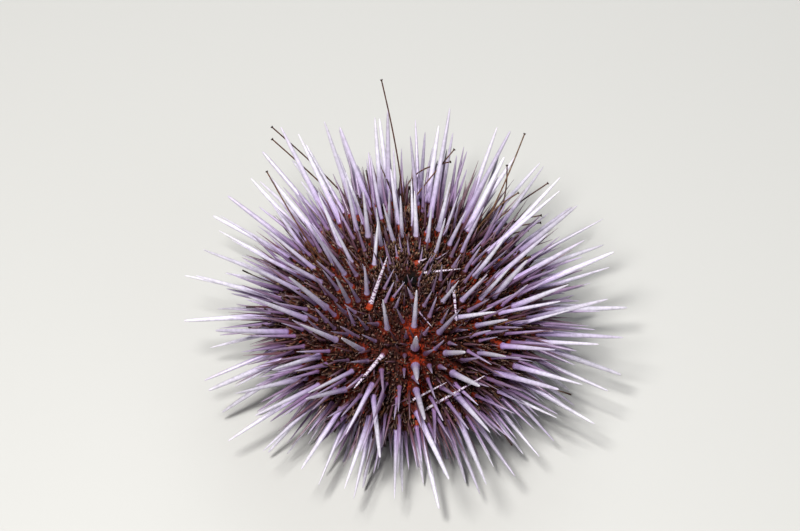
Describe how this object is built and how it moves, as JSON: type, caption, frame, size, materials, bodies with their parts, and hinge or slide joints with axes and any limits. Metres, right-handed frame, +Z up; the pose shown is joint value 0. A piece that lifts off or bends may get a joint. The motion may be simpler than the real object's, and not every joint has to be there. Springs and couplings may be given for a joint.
{
  "type": "purple sea urchin",
  "caption": "Life-size still model of a live purple sea urchin: a low round test covered in tapering spines, with tube feet and a five-toothed mouth beneath.",
  "frame": {"origin": "on the floor, under the middle of the animal's overall box", "axes": "+Z up, from the mouth to the top of the animal; the picture looks roughly along +Y and down, with +X to its right"},
  "size_m": [0.1038, 0.102, 0.056],
  "materials": {
    "spines": "satin, finely grooved along each spine",
    "skin": "damp, mottled",
    "teeth": "satin",
    "tube_feet": "damp"
  },
  "bodies": {
    "root": {"apical_disc": "skin", "interambulacrum_1": "spines", "interambulacrum_2": "spines", "interambulacrum_3": "spines", "interambulacrum_4": "spines", "interambulacrum_5": "spines", "ambulacrum_1": "spines", "ambulacrum_2": "spines", "ambulacrum_3": "spines", "ambulacrum_4": "spines", "ambulacrum_5": "spines", "peristome": "skin", "lantern": "teeth"}
  },
  "joints": []
}
